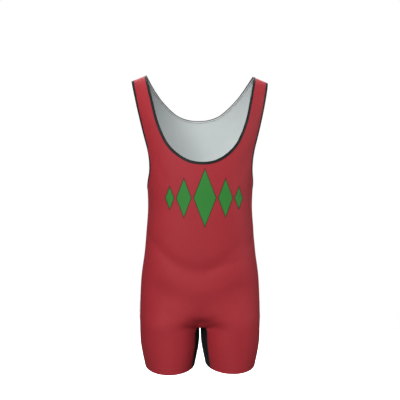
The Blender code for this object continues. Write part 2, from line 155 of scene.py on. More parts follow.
# %% Wires and finishes
class Wire:
    """One output socket that can be used in expressions."""

    def __init__(self, finish, socket):
        self.finish = finish
        self.socket = socket

    def math(self, operation, *values):
        return self.finish.node("ShaderNodeMath", {"operation": operation}, *values)

    def __add__(self, other):
        return self.math("ADD", self, other)

    def __sub__(self, other):
        return self.math("SUBTRACT", self, other)

    def __rsub__(self, other):
        return self.math("SUBTRACT", other, self)

    def __mul__(self, other):
        return self.math("MULTIPLY", self, other)

    def __truediv__(self, other):
        return self.math("DIVIDE", self, other)

    def __abs__(self):
        return self.math("ABSOLUTE", self)

    def sin(self):
        return self.math("SINE", self)

    def fraction(self):
        return self.math("FRACT", self)

    def least(self, other):
        return self.math("MINIMUM", self, other)

    def within(self):
        return self.math("MINIMUM", self.math("MAXIMUM", self, 0.0), 1.0)


class Finish:
    """A material on one Principled shader, whose constants are set on the shader's own sockets."""

    def __init__(self, name, colour, **constants):
        self.material = bpy.data.materials.new(name)
        self.material.use_nodes = True
        self.material.diffuse_color = (*colour, 1)
        self.tree = self.material.node_tree
        self.shader = self.tree.nodes["Principled BSDF"]
        self.shader.inputs["Base Color"].default_value = (*colour, 1)
        for socket, value in constants.items():
            self.shader.inputs[socket.replace("_", " ")].default_value = value

    def put(self, socket, value):
        if isinstance(value, Wire):
            self.tree.links.new(value.socket, socket)
        else:
            socket.default_value = value

    def node(self, kind, settings, *inputs, out=0, **named):
        """A node of that kind. Its settings are set first, then its inputs by order or by name."""
        node = self.tree.nodes.new(kind)
        for key, value in settings.items():
            setattr(node, key, value)
        for socket, value in zip(node.inputs, inputs):
            self.put(socket, value)
        for key, value in named.items():
            self.put(node.inputs[key.replace("_", " ")], value)
        return Wire(self, node.outputs[out])

    def place(self):
        """The three Object coordinates, in metres."""
        coordinates = self.node("ShaderNodeTexCoord", {}, out=3)
        axes = self.tree.nodes.new("ShaderNodeSeparateXYZ")
        self.put(axes.inputs[0], coordinates)
        return coordinates, [Wire(self, socket) for socket in axes.outputs]

    def cloth_grid(self):
        """Across and along the knit, in metres on the flat cloth, from the piece's UV map."""
        uv = self.node("ShaderNodeUVMap", {"uv_map": "Cloth"})
        axes = self.tree.nodes.new("ShaderNodeSeparateXYZ")
        self.put(axes.inputs[0], uv)
        return Wire(self, axes.outputs[0]), Wire(self, axes.outputs[1])

    def mixed(self, share, first, second):
        """Two colours mixed by share."""
        mix = self.tree.nodes.new("ShaderNodeMix")
        mix.data_type = "RGBA"
        self.put(mix.inputs["Factor"], share)
        for socket, value in zip([s for s in mix.inputs if s.type == "RGBA"], (first, second)):
            self.put(socket, value if isinstance(value, Wire) else (*value, 1))
        return Wire(self, next(s for s in mix.outputs if s.type == "RGBA"))

    def noise(self, coordinates, scale, detail=2.0):
        return self.node(
            "ShaderNodeTexNoise", {}, Vector=coordinates, Scale=scale, Detail=detail, Roughness=0.5
        )

    def relief(self, height, distance):
        """Feeds a height from 0 to 1 to the shader's normal, as relief of that depth in metres."""
        bump = self.node("ShaderNodeBump", {}, Height=height, Distance=distance, Strength=1.0)
        self.put(self.shader.inputs["Normal"], bump)

    def colour(self, value):
        self.put(self.shader.inputs["Base Color"], value)

    def roughness(self, value):
        self.put(self.shader.inputs["Roughness"], value)


print("shader toolkit ready")

# %% [markdown]
# ## The figure inside the cloth
#
# Tight knit has no shape of its own: it takes the outline of a general figure and bridges its hollows. The
# figure is a stack of rounded sections, described by the short table below and read at any height through
# a smooth curve. It is the same table that the solids were built from, so the shells land on them.

# %% The sections of the figure
FIGURE_COLUMNS = ("height", "half_width", "front", "back", "squareness")
FIGURE = (
    (0.0645, 0.2180, 0.084, 0.086, 2.3),
    (-0.0055, 0.2050, 0.089, 0.095, 2.3),
    (-0.0655, 0.1890, 0.098, 0.104, 2.3),
    (-0.1255, 0.1730, 0.107, 0.108, 2.3),
    (-0.1855, 0.1580, 0.114, 0.107, 2.3),
    (-0.2890, 0.1415, 0.116, 0.096, 2.3),
    (-0.3455, 0.1396, 0.113, 0.087, 2.3),
    (-0.4055, 0.1436, 0.111, 0.085, 2.3),
    (-0.4605, 0.1482, 0.109, 0.091, 2.3),
    (-0.5255, 0.1568, 0.105, 0.102, 2.3),
    (-0.5905, 0.1603, 0.102, 0.111, 2.2),
    (-0.6535, 0.1612, 0.101, 0.109, 2.0),
    (-0.7055, 0.1588, 0.100, 0.098, 2.0),
    (-0.7505, 0.1500, 0.098, 0.088, 2.0),
    (-0.7955, 0.1390, 0.095, 0.078, 2.0),
)


def curve_through(xs, ys, x):
    """Cubic pieces through the points (xs, ys), each leaving a point at the slope of its neighbours."""
    slopes = np.gradient(ys, xs)
    i = np.clip(np.searchsorted(xs, x) - 1, 0, len(xs) - 2)
    h = xs[i + 1] - xs[i]
    t = (x - xs[i]) / h
    return (
        (2 * t**3 - 3 * t**2 + 1) * ys[i]
        + (t**3 - 2 * t**2 + t) * h * slopes[i]
        + (3 * t**2 - 2 * t**3) * ys[i + 1]
        + (t**3 - t**2) * h * slopes[i + 1]
    )


def figure(name, z):
    """One named column of the figure's table, read at the heights z."""
    rows = np.array(FIGURE)[::-1]
    return curve_through(rows[:, 0], rows[:, FIGURE_COLUMNS.index(name)], np.asarray(z, float))


print("hips are", round(2 * float(figure("half_width", -0.65)), 3), "m wide")

# %% [markdown]
# ## Two legs and a crotch
#
# Below the hips one section becomes two. Each side's section slides outwards until it clears the middle,
# and the cloth keeps a small bridge between the thighs: it is pulled straight there and doesn't follow
# them in. The inner edge and the inseam beside the black gusset have their own short table.

# %% Where the legs part
SPLIT_TOP = -0.540
CROTCH = -0.6555
CROTCH_ARCH = 0.0095
ARCH_SIDE_RISE = 0.030
HEM = -0.7625
INNER_RISE = 0.04  # the gap between the legs closes over this height
LEG = np.array(
    (
        # height, inner edge, inseam
        (-0.640, 0.0020, 0.0150),
        (-0.697, 0.0021, 0.0160),
        (-0.711, 0.0035, 0.0172),
        (-0.726, 0.0062, 0.0190),
        (-0.741, 0.0094, 0.0212),
        (-0.756, 0.0126, 0.0240),
        (-0.790, 0.0180, 0.0290),
    )
)


def smoothstep(t):
    """An S-shaped ramp from 0 to 1: 3t^2 - 2t^3."""
    t = np.clip(t, 0, 1)
    return t * t * (3 - 2 * t)


def leg_line(column, z):
    """A column of the leg table at the heights z."""
    rows = LEG[::-1]
    return curve_through(rows[:, 0], rows[:, column], np.minimum(z, LEG[0, 0]))


def half_section(z):
    """Centre and radius across of one side's section, and how far the legs have parted there."""
    parted = smoothstep((SPLIT_TOP - z) / (SPLIT_TOP - CROTCH))
    inner = leg_line(1, z) * smoothstep((CROTCH + INNER_RISE - z) / INNER_RISE)
    half = figure("half_width", z)
    centre = parted * (half + inner) / 2
    return centre, half - centre, parted


centre, radius, _ = half_section(HEM)
print("a leg opening is", round(2 * float(radius), 3), "m across")

# %% [markdown]
# ## Shoulders
#
# Near the shoulders the section closes over in an arch, front to back, so that each strap lies on a
# rounded ridge. The half thickness of the figure at any place x, z is then the larger of two smooth
# surfaces, the round section and the straight bridge of cloth between the thighs, times that arch. At the
# back the bridge also reaches up into the waist. Its edge is sharp on the solid and softened here, which
# takes the cloth up to 3 mm off the solid.

# %% Depth of the cloth in front of the side seams and behind them
RIDGE_X = 0.163
RIDGE_FALL = 0.40
ARCH_HEIGHT = 0.16
SOLID_WALL = 0.0015
SEAT_RISE = 0.100
BRIDGE = {"front": (0.055, 0.092), "back": (0.050, 0.100)}
BRIDGE_FALL = 4.5
BRIDGE_BLEND = 0.022
BRIDGE_DROP = 3.0
WAIST_BLEND = 0.012
CLEFT_SOFTNESS = 0.016
CLEFT_FOOT = 0.012
CLEFT_RISE = 0.030


def ridge(x):
    """Height of the shoulder line at the distance x from the middle."""
    return RIDGE_FALL * (RIDGE_X - np.abs(x)) + SOLID_WALL


def smooth_max(a, b, blend):
    """The larger of a and b, with the corner filled by a parabola over the width blend."""
    blend = np.maximum(blend, 1e-9)
    near = np.clip(1 - np.abs(a - b) / blend, 0, 1)
    return np.maximum(a, b) + near * near * blend / 4


def depth(x, z, side):
    """Half thickness of the figure at x, z on that side. The cloth rounds off the cleft at its middle."""
    centre, radius, parted = half_section(z)
    squareness = figure("squareness", z)
    softness = CLEFT_SOFTNESS * parted * smoothstep((z - CROTCH - CLEFT_FOOT) / CLEFT_RISE)
    across = np.clip(np.abs(np.sqrt(x * x + softness**2) - centre) / radius, 0, 1)
    round_side = figure(side, z) * (1 - across**squareness) ** (1 / squareness)
    low, high = BRIDGE[side]
    rise = np.clip((z - CROTCH) / SEAT_RISE, 0, 1)
    bridge = low + (high - low) * np.sqrt(1 - (1 - rise) ** 2) - BRIDGE_FALL * x**2
    bridge = bridge - BRIDGE_DROP * np.maximum(CROTCH - CROTCH_ARCH - z, 0)
    over_arch = np.clip((ridge(x) - z) / ARCH_HEIGHT, 0, 1)
    shoulder = np.sqrt(1 - (1 - over_arch) ** 2)
    return smooth_max(round_side, bridge, np.maximum(BRIDGE_BLEND * parted, WAIST_BLEND)) * shoulder


def on_figure(x, z, side):
    """Points of the figure at the places x, z of its front or back."""
    y = depth(x, z, side) * (-1 if side == "front" else 1)
    return np.stack(np.broadcast_arrays(x, y, z), axis=-1)


chest = on_figure(np.array(0.0), np.array(-0.26), "front")
print("the chest stands", round(-float(chest[1]), 3), "m in front of the side seams")

# %% [markdown]
# ## Free edges and seam lines
#
# The neckline and the armholes are cut as smooth curves and then bound: a folded tape of even width takes
# the panel's raw edge into its fold. The raw edge and the tape's inner border are the free edge walked
# inwards over the surface. Walking needs a field that is zero on the cloth, whose slope is the normal.

# %% The cut of the neck and the armholes
BINDING_WIDTH = 0.007
RAW_EDGE = 0.003  # the panel's raw edge lies this far inside the binding's fold
NECK_RIDGE_X = 0.1425
ARM_RIDGE_X = 0.1838
NEAR_SIDE = 0.93  # share of the half width beyond which a point counts as being at the side
FIELD_STEP = 0.00002
SETTLING_STEPS = 4
FRONT_NECK = (
    # across, height
    (0.0000, -0.2302),
    (0.0280, -0.2265),
    (0.0620, -0.2075),
    (0.0866, -0.1805),
    (0.0985, -0.1575),
    (0.1107, -0.1255),
    (0.1238, -0.0728),
    (0.1360, -0.0205),
)
BACK_NECK = (
    # across, height
    (0.0000, -0.0936),
    (0.0300, -0.0910),
    (0.0567, -0.0822),
    (0.0870, -0.0597),
    (0.1156, -0.0295),
    (0.1310, -0.0080),
)
FRONT_ARMHOLE = (
    # degrees round the section from the middle, height
    (90.0, -0.2890),
    (84.0, -0.2850),
    (76.0, -0.2725),
    (68.5, -0.2555),
    (63.8, -0.2275),
    (63.2, -0.1955),
    (64.6, -0.1605),
    (65.2, -0.1055),
)
BACK_ARMHOLE = (
    # degrees round the section from the middle, height
    (90.0, -0.2890),
    (84.0, -0.2845),
    (75.0, -0.2685),
    (67.0, -0.2425),
    (63.0, -0.2005),
    (62.8, -0.1555),
    (64.2, -0.1055),
)
DENSE = 1500


def unit(v):
    return v / np.maximum(np.linalg.norm(v, axis=-1, keepdims=True), 1e-12)


def walked(points):
    """Distance walked along a line of points."""
    return np.r_[0, np.cumsum(np.linalg.norm(np.diff(points, axis=0), axis=-1))]


def upper_field(p):
    """Negative inside the chest and shoulders, zero on the cloth: the section's own equation."""
    x, y, z = np.abs(p[..., 0]), p[..., 1], p[..., 2]
    half, squareness = figure("half_width", z), figure("squareness", z)
    full = np.where(y < 0, figure("front", z), figure("back", z))
    over = np.clip((ridge(x) - z) / ARCH_HEIGHT, -1, 1)
    arch = 1 - (1 - over) * np.abs(1 - over)
    across = x / half
    near_side = (np.abs(y) / full) ** squareness + across**squareness - 1
    inside = np.clip(1 - across**squareness, 1e-9, 1) ** (2 / squareness)
    return np.where(across > NEAR_SIDE, near_side, (y / full) ** 2 - arch * inside)


def field_slope(p):
    """Central differences of the field along each axis."""
    steps = FIELD_STEP * np.eye(3)
    return np.stack([upper_field(p + s) - upper_field(p - s) for s in steps], axis=-1) / (2 * FIELD_STEP)


def free_edge(table, ridge_x, side, polar):
    """A dense line along the free edge of the cloth, up to the top of the shoulder.

    The second row is mirrored ahead of the first, so that both halves of an edge meet without a kink.
    """
    mirrored = (2 * table[0][0] - table[1][0], table[1][1])
    rows = np.vstack([mirrored, table, (ridge_x, ridge(ridge_x))])
    across = rows[:, 0]
    if polar:
        half = figure("half_width", rows[:, 1])
        rows[-1, 0] = math.degrees(math.asin(ridge_x / half[-1]))
        across = np.sin(np.radians(rows[:, 0])) * half
    run = walked(np.stack([across, rows[:, 1]], axis=1))
    at = run[1] + (run[-1] - run[1]) * (1 - (1 - np.linspace(0, 1, DENSE)) ** 2)
    x, z = (curve_through(run, rows[:, k], at) for k in range(2))
    if polar:
        x = np.sin(np.radians(x)) * figure("half_width", z)
    z = np.minimum(z, ridge(x))
    x[-1], z[-1] = ridge_x, ridge(ridge_x)
    return on_figure(x, z, side)


def moved_in(edge, distance, towards):
    """The line walked over the figure: a step across it, then back onto the field's zero."""
    normal = unit(field_slope(edge))
    across = unit(np.cross(unit(np.gradient(edge, axis=0)), normal))
    flip = np.sign((across * towards).sum(axis=-1).mean())
    moved = edge + flip * distance * across
    for _ in range(SETTLING_STEPS):
        slope = field_slope(moved)
        moved = moved - upper_field(moved)[:, None] * slope / (slope**2).sum(-1, keepdims=True)
    return moved


def edge_lines(table, ridge_x, side, polar, count, towards):
    """Matching lines of count + 1 points, at 0, RAW_EDGE and BINDING_WIDTH from the free edge."""
    dense = free_edge(table, ridge_x, side, polar)
    run = walked(dense)
    at = np.linspace(0, run[-1], count + 1)
    free = np.stack([np.interp(at, run, dense[:, k]) for k in range(3)], axis=1)
    before = free[1] * ((1, -1, 1) if polar else (-1, 1, 1))
    longer = np.vstack([before, free, free[-2] * (1, -1, 1)])
    lines = {"free": free}
    for name, distance in (("raw", RAW_EDGE), ("seam", BINDING_WIDTH)):
        line = moved_in(longer, distance, towards)[1:-1]
        if polar:
            line[0] = (figure("half_width", line[0, 2]), 0, line[0, 2])
        else:
            line[0, :2] = on_figure(np.array(0.0), line[0, 2], side)[:2]
        line[-1] = (line[-1, 0], 0, ridge(line[-1, 0]))
        lines[name] = line
    return lines


FRONT_STRAP_ROWS = 84
BACK_YOKE_ROWS = 30
BACK_STRAP_ROWS = 60
neck_out, arm_in = np.array([1.0, 0, -1.0]), np.array([-1.0, 0, -1.0])
neck = {
    "front": edge_lines(FRONT_NECK, NECK_RIDGE_X, "front", False, FRONT_STRAP_ROWS, neck_out),
    "back": edge_lines(BACK_NECK, NECK_RIDGE_X, "back", False, BACK_STRAP_ROWS, neck_out),
}
arm = {
    "front": edge_lines(FRONT_ARMHOLE, ARM_RIDGE_X, "front", True, FRONT_STRAP_ROWS, arm_in),
    "back": edge_lines(BACK_ARMHOLE, ARM_RIDGE_X, "back", True, BACK_YOKE_ROWS + BACK_STRAP_ROWS, arm_in),
}
for name in ("raw", "seam"):
    for pair, end in ((neck, -1), (arm, -1), (arm, 0)):
        shared = (pair["front"][name][end] + pair["back"][name][end]) / 2
        pair["front"][name][end] = pair["back"][name][end] = shared
neck_length = 2 * sum(walked(neck[side]["free"])[-1] for side in neck)
arm_length = sum(walked(arm[side]["free"])[-1] for side in arm)
print("the neck edge is", round(neck_length, 3), "m round, an armhole", round(arm_length, 3), "m")

# %% [markdown]
# ## Panels as grids
#
# Half of each panel is one grid of points. Its rows run from the middle, or from the inseam on a leg,
# round to the side seam, and climb from the hem over the crotch to the strap. On the strap a row runs from
# the neck's raw edge to the armhole's. The whole grid is worked out at once, as arrays. One short row lies
# on each side of the hem's turned-in edge, where the cloth's thickness changes.

# %% Grids of the front, the back and the gusset
COLUMNS = 48
HEM_ROWS = 6
LEG_ROWS = 26
ARCH_ROWS = 10
BODY_ROWS = 84
GUSSET_COLUMNS = 32
HEM_TURN = 0.020
HEM_STEP = 0.0012
ARCH_POWER = 0.65  # shape of the arch in which a leg's inner side ends
LOW_CROWDING = 1.45  # rows lie closer together towards the crotch by this power
YOKE_HEIGHT = 0.052  # the back's level rows end this far above the armhole's lowest point
ON_MIDDLE = 1e-7  # a point nearer to the middle plane than this lies on it


def section_rows(z_start, z_end, x_start, side):
    """Rows round a section: x = centre - swing cos(angle), the height easing from z_start to z_end.

    Once the legs have parted, the columns shift only near the inseam: angle = pi u + first (1 - u)^3.
    """
    u = np.linspace(0, 1, COLUMNS + 1)[None]
    z_start, z_end, x_start = (np.asarray(v, float)[:, None] for v in (z_start, z_end, x_start))
    z = z_start + (z_end - z_start) * np.sin(u * math.pi / 2)
    centre, radius, parted = half_section(z)
    reach = centre - x_start
    first = np.arccos(np.clip(reach / radius, -1, 1))
    angle = math.pi * u + first * (1 - u) * (1 - parted * (1 - (1 - u) ** 2))
    swing = np.where(angle < math.pi / 2, reach / np.cos(first).clip(1e-9), radius)
    x = centre - swing * np.cos(angle)
    x[:, 0] = x_start[:, 0]
    x[:, -1] = figure("half_width", z[:, -1])
    rows = on_figure(x, z, side)
    rows[:, -1, 1] = 0
    return rows


def strap_rows(start, end, side):
    """Rows between matching points of two seam lines, each at its own distance below the shoulder line."""
    u = np.linspace(0, 1, COLUMNS + 1)[None]
    half_a, half_b = (figure("half_width", p[:, 2])[:, None] for p in (start, end))
    angle_a = np.arcsin(np.clip(start[:, :1] / half_a, -1, 1))
    angle_b = np.arcsin(np.clip(end[:, :1] / half_b, -1, 1))
    x = np.sin(angle_a + (angle_b - angle_a) * u) * (half_a + (half_b - half_a) * u)
    below_a, below_b = ((ridge(p[:, 0]) - p[:, 2])[:, None] for p in (start, end))
    z = ridge(x) - np.maximum(below_a + (below_b - below_a) * u, 0)
    rows = on_figure(x, z, side)
    rows[:, 0], rows[:, -1] = start, end
    return rows


def leg_levels():
    """Heights of the leg's rows, their share of the inseam's reach, and their climb to the side seam."""
    foot = CROTCH - CROTCH_ARCH
    turn = np.linspace(0, math.pi / 2, ARCH_ROWS + 1)[1:]
    turned = np.linspace(HEM, HEM + HEM_TURN - HEM_STEP / 2, HEM_ROWS)
    leg = np.linspace(HEM + HEM_TURN + HEM_STEP / 2, foot, LEG_ROWS + 1 - HEM_ROWS)
    heights = np.r_[turned, leg, foot + CROTCH_ARCH * np.sin(turn)]
    arch = np.r_[np.ones(LEG_ROWS + 1), np.cos(turn).clip(0) ** ARCH_POWER]
    arch[-1] = 0
    climb = np.r_[np.zeros(LEG_ROWS), np.linspace(0, ARCH_SIDE_RISE, ARCH_ROWS + 1)]
    return heights, arch, np.minimum(heights, foot) + climb


def half_panel(side, yoke_rows):
    """All rows of one half of the front or back, and the rows whose first point is on the middle line."""
    heights, arch, side_heights = leg_levels()
    rows = [section_rows(heights, side_heights, arch * leg_line(2, heights), side)]
    start, end = neck[side]["raw"], arm[side]["raw"]
    yoke_foot = end[0, 2] + YOKE_HEIGHT if yoke_rows else start[0, 2]
    share = np.linspace(0, 1, BODY_ROWS + 1)[1:-1]
    z_middle = CROTCH + (yoke_foot - CROTCH) * share**LOW_CROWDING
    z_side = side_heights[-1] + (end[0, 2] - side_heights[-1]) * share
    rows.append(section_rows(z_middle, z_side, 0 * share, side))
    if yoke_rows:
        yoke = np.linspace(yoke_foot, start[0, 2], yoke_rows + 1)[:-1]
        start = np.vstack([on_figure(0 * yoke, yoke, side), start])
    rows.append(strap_rows(start, end, side))
    low = LEG_ROWS + ARCH_ROWS
    return np.concatenate(rows), (low, low + BODY_ROWS + yoke_rows)


def half_gusset():
    """The inner side of one leg: an arc between the inseams, narrowing to the middle line at the crotch."""
    heights, arch, _ = leg_levels()
    heights, arch = heights[:, None], arch[:, None]
    level = np.minimum(heights, CROTCH - CROTCH_ARCH)
    centre, radius, _ = half_section(level)
    share = np.linspace(0, 1, GUSSET_COLUMNS + 1)[None]
    angle = np.arccos((centre - leg_line(2, level)) / radius) * (1 - 2 * share)
    x_edge = arch * leg_line(2, heights)
    x = (centre - radius * np.cos(angle)) * arch
    y = -np.where(angle > 0, figure("front", level), figure("back", level)) * np.sin(angle)
    y = y + (-depth(x_edge, heights, "front") - y[:, :1]) * (1 - share) ** 2
    y = y + (depth(x_edge, heights, "back") - y[:, -1:]) * share**2
    x[:, 0] = x[:, -1] = x_edge[:, 0]
    return np.stack([x, y, np.broadcast_to(heights, x.shape)], axis=-1)


front_grid, front_middle = half_panel("front", 0)
back_grid, back_middle = half_panel("back", BACK_YOKE_ROWS)
gusset_grid = half_gusset()
print("half panels of", front_grid.shape[:2], back_grid.shape[:2], "and", gusset_grid.shape[:2], "points")

# %% [markdown]
# ## How the cloth hangs on the figure
#
# Worn stretch knit shows hardly any folds. What it has are soft troughs: a wide bowed one across the lower
# belly from hip to hip, short ones beside the crotch, a pull under each arm, and their like in the small of
# the back and under the seat. Each is listed in the table and pressed in along the cloth's normals.
# Heights and turns round the body place them, so a trough may run on over a side seam.

# %% Troughs listed in a table
GIRTH_RADIUS = 0.130
CREASE_COLUMNS = ("turn", "height", "tilt", "length", "width", "depth", "bow")
CREASES = (
    # turn in degrees round from the middle of the front, tilt in degrees, the rest in metres
    (-4, -0.504, 1, 0.240, 0.0200, 0.0034, 4.6),
    (-2, -0.552, 0, 0.260, 0.0280, -0.0034, 3.0),
    (0, -0.622, 0, 0.070, 0.0160, -0.0024, 0.0),
    (20, -0.634, 30, 0.044, 0.0110, -0.0014, 0.0),
    (-21, -0.635, -30, 0.044, 0.0110, -0.0016, 0.0),
    (28, -0.490, 15, 0.110, 0.0100, 0.0012, 2.0),
    (64, -0.436, 30, 0.090, 0.0130, 0.0014, 0.0),
    (-66, -0.430, -34, 0.070, 0.0120, 0.0011, 0.0),
    (52, -0.232, 64, 0.100, 0.0150, 0.0016, 0.0),
    (-50, -0.250, -60, 0.070, 0.0120, 0.0008, 0.0),
    (15, -0.651, 12, 0.040, 0.0060, 0.0013, -5.0),
    (-16, -0.650, -10, 0.046, 0.0060, 0.0015, -5.0),
    (30, -0.616, 30, 0.060, 0.0120, 0.0005, 0.0),
    (-32, -0.620, -28, 0.074, 0.0120, 0.0007, 0.0),
    (70, -0.318, -58, 0.060, 0.0090, 0.0011, 0.0),
    (-72, -0.322, 53, 0.050, 0.0080, 0.0009, 0.0),
    (108, -0.356, -12, 0.100, 0.0140, 0.0010, 0.0),
    (-112, -0.348, 14, 0.090, 0.0140, 0.0010, 0.0),
    (176, -0.402, 2, 0.190, 0.0120, 0.0021, -1.6),
    (-163, -0.430, -6, 0.130, 0.0100, 0.0014, -1.0),
    (160, -0.376, 8, 0.110, 0.0090, 0.0012, 0.0),
    (118, -0.404, 16, 0.080, 0.0090, 0.0011, 0.0),
    (-121, -0.411, -13, 0.092, 0.0100, 0.0012, 0.0),
    (151, -0.650, -22, 0.084, 0.0100, 0.0020, 3.0),
    (-150, -0.653, 19, 0.092, 0.0110, 0.0022, 3.0),
    (168, -0.636, -34, 0.050, 0.0090, 0.0010, 0.0),
    (-169, -0.638, 31, 0.054, 0.0090, 0.0010, 0.0),
    (132, -0.268, 42, 0.062, 0.0090, 0.0013, 0.0),
    (-130, -0.274, -38, 0.070, 0.0090, 0.0011, 0.0),
)


def trough_depth(points):
    """Sum of exp(-(across / width)^2 - (2 along / length)^4) times depth, over the table's troughs."""
    turn = np.degrees(np.arctan2(points[..., 0], -points[..., 1]))
    total = np.zeros(turn.shape)
    for row in CREASES:
        c = dict(zip(CREASE_COLUMNS, row))
        tilt = math.radians(c["tilt"])
        round_way = np.radians((turn - c["turn"] + 180) % 360 - 180) * GIRTH_RADIUS
        up = points[..., 2] - c["height"]
        along = round_way * math.cos(tilt) + up * math.sin(tilt)
        across = up * math.cos(tilt) - round_way * math.sin(tilt) - c["bow"] * along**2
        total += c["depth"] * np.exp(-((across / c["width"]) ** 2) - (2 * along / c["length"]) ** 4)
    return total


def shared_normals(grids):
    """Outward normals of grids that meet along seams. Each grid comes with 1 or -1, for its facing."""
    points = np.concatenate([grid.reshape(-1, 3) for grid, _ in grids])
    _, index = np.unique(np.round(points, 6), axis=0, return_inverse=True)
    index = index.reshape(-1)
    total = np.zeros((index.max() + 1, 3))
    ends = np.cumsum([grid.shape[0] * grid.shape[1] for grid, _ in grids])
    owned = [part.reshape(grid.shape[:2]) for part, (grid, _) in zip(np.split(index, ends[:-1]), grids)]
    for own, (grid, facing) in zip(owned, grids):
        area = facing * np.cross(grid[1:, 1:] - grid[:-1, :-1], grid[1:, :-1] - grid[:-1, 1:])
        for corner in (own[1:, 1:], own[:-1, :-1], own[1:, :-1], own[:-1, 1:]):
            np.add.at(total, corner.reshape(-1), area.reshape(-1, 3))
    return [unit(total[own]) for own in owned]


def halves(grid):
    """The grid on the garment's left and its mirror image on the right."""
    return {"left": grid, "right": grid * (-1, 1, 1)}


cloth, facing = {}, {}
for name, grid, turned in (("front", front_grid, 1), ("back", back_grid, -1), ("gusset", gusset_grid, -1)):
    for half, points in halves(grid).items():
        cloth[name, half] = points
        facing[name, half] = turned if half == "left" else -turned
plain = shared_normals([(cloth[key], facing[key]) for key in cloth])
for key, normal in zip(cloth, plain):
    cloth[key] = cloth[key] - normal * trough_depth(cloth[key])[..., None]
normals = dict(zip(cloth, shared_normals([(cloth[key], facing[key]) for key in cloth])))
print("deepest trough is", round(1000 * max(trough_depth(p).max() for p in cloth.values()), 2), "mm")

# %% [markdown]
# ## A map of the flat cloth
#
# Knit runs in columns of loops up the garment and rows of loops round it, so its finish needs a place on
# the flat cloth for every point: the distance from the middle along a row, and the distance from the hem up
# a column. The first column of a row is carried on from the row below it by the part of the step that runs
# along the row, which keeps the knit straight where the neckline cuts into it.

# %% Flat places in metres
def flat_map(grid, first_across):
    """(across, up) of every point: arc lengths along the rows, and steps between rows less that part."""
    steps = np.diff(grid, axis=1)
    run = np.concatenate([np.zeros((len(grid), 1)), np.cumsum(np.linalg.norm(steps, axis=2), axis=1)], axis=1)
    row_way = unit(np.gradient(grid, axis=1))
    climb = np.diff(grid, axis=0)
    sideways = (climb * (row_way[1:] + row_way[:-1]) / 2).sum(axis=2)
    rise = np.sqrt(np.maximum((climb**2).sum(axis=2) - sideways**2, 0))
    across = first_across + np.r_[0, np.cumsum(sideways[:, 0])]
    up = np.vstack([0 * rise[:1], np.cumsum(rise, axis=0)])
    return np.stack([across[:, None] + run, up], axis=-1)


flat = {}
for (name, half), grid in cloth.items():
    start = abs(grid[0, 0, 0]) if name != "gusset" else 0
    flat[name, half] = flat_map(grid, start) * ((1 if half == "left" else -1), 1)
print("a panel is", round(float(flat["front", "left"][..., 1].max()), 3), "m long when flat")

# %% [markdown]
# ## Cloth shells
#
# The cloth is 0.9 mm thick here and is sewn edge to edge with flat seams, so each panel ends in a
# rounded edge that just meets its neighbour's. The shell is the grid and a second skin inside it. Both
# skins run together in the middle of the cloth along every cut edge, over three extra lines that make the
# edge round, and a fourth keeps that rounding out of the shading of the cloth beside it. The hem is turned
# in once, so the cloth is twice as thick there.

# %% Shells with rolled edges and turned hems
CLOTH = 0.0009
HEM_ROLL = 0.0009
SEAM_ROLL = 0.00045
SEAM_PLAY = 0.00003
MERGE = 0.000002
ROLL = np.array((0.0, 0.13, 0.5, 1.0, 1.6))
ROLL_DROP = 1 - np.sqrt(1 - (1 - np.minimum(ROLL, 1)) ** 2)


def with_edge_lines(values, radius):
    """The grid with extra columns at ROLL times radius inside its first and last columns."""
    ends = []
    for edge, following in ((values[:, 0], values[:, 1]), (values[:, -1], values[:, -2])):
        step = following - edge
        share = radius / np.linalg.norm(step[:, :3], axis=1)[:, None, None]
        ends.append(edge[:, None] + step[:, None] * share * ROLL[:, None])
    return np.concatenate([ends[0], values[:, 1:-1], ends[1][:, ::-1]], axis=1)


def drop_profile(count, first, last):
    """How far each of count lines drops towards the middle of the cloth, from 0 to 1."""
    profile = np.zeros(count)
    if first:
        profile[: len(ROLL)] = ROLL_DROP
    if last:
        profile[count - len(ROLL) :] = ROLL_DROP[::-1]
    return profile


